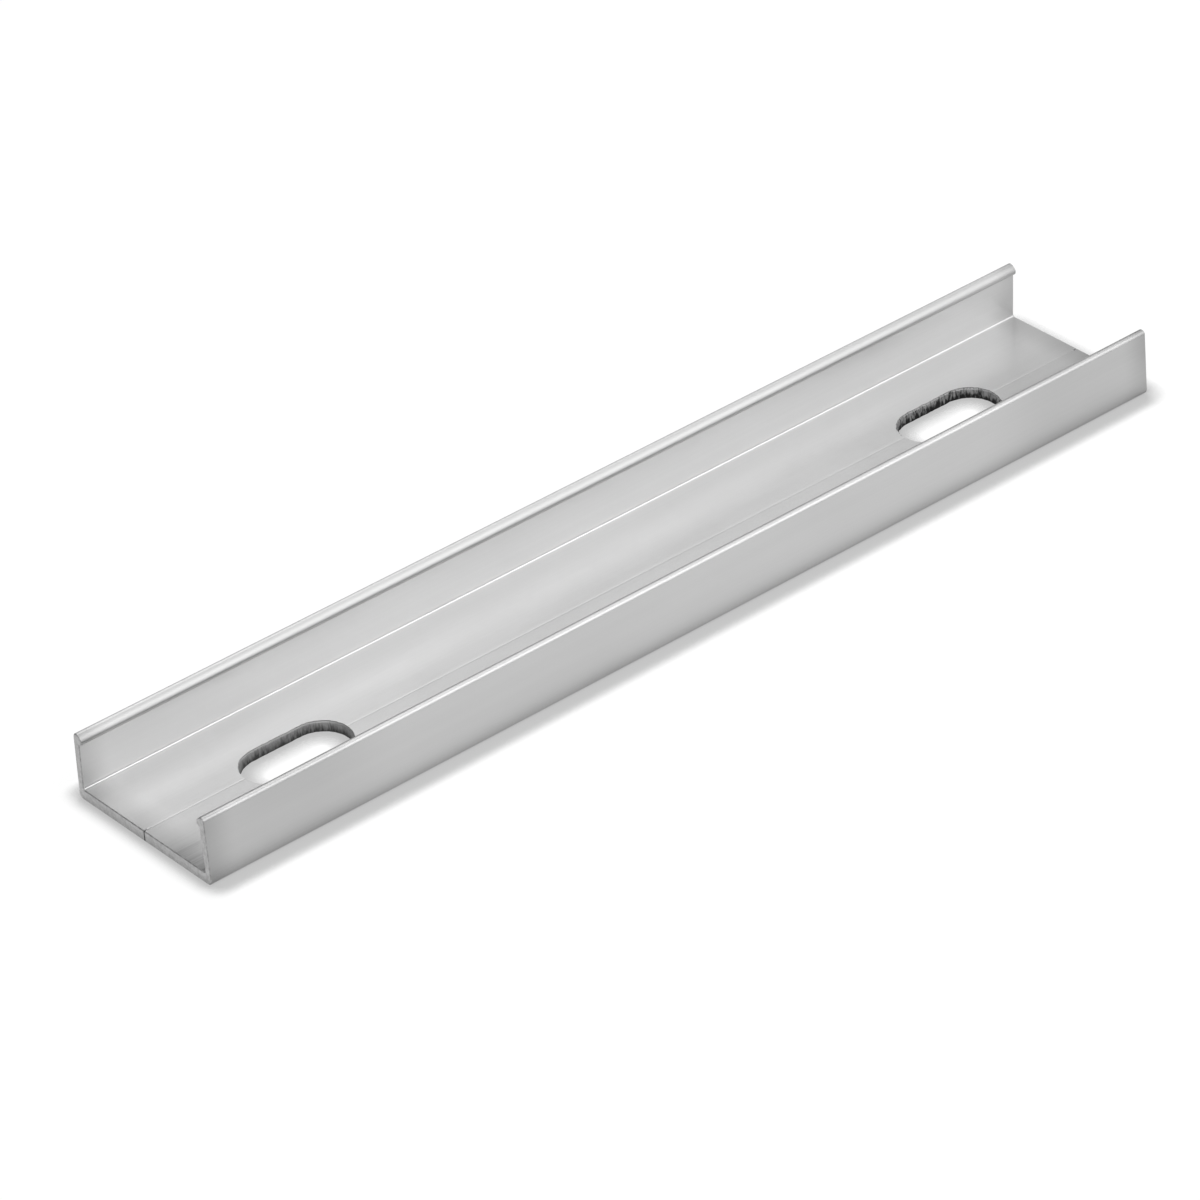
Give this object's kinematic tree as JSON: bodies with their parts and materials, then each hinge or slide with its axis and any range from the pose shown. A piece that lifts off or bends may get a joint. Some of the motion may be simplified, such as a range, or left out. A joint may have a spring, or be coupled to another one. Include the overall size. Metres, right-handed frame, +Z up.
{
  "type": "mounting strip",
  "caption": "Short extruded aluminium channel with slotted screw holes in its web and inward beads along its low flanges, for a part that is pressed in between them.",
  "frame": {"origin": "centre of the web's flat underside, halfway between the two sawn ends", "axes": "+X along the strip, +Y across it from flange to flange, +Z up out of the channel's open side"},
  "size_m": [0.15, 0.0254, 0.0093],
  "materials": {
    "extruded_aluminium": "satin mill finish, as extruded"
  },
  "bodies": {
    "root": {"strip": "extruded_aluminium"}
  },
  "joints": []
}
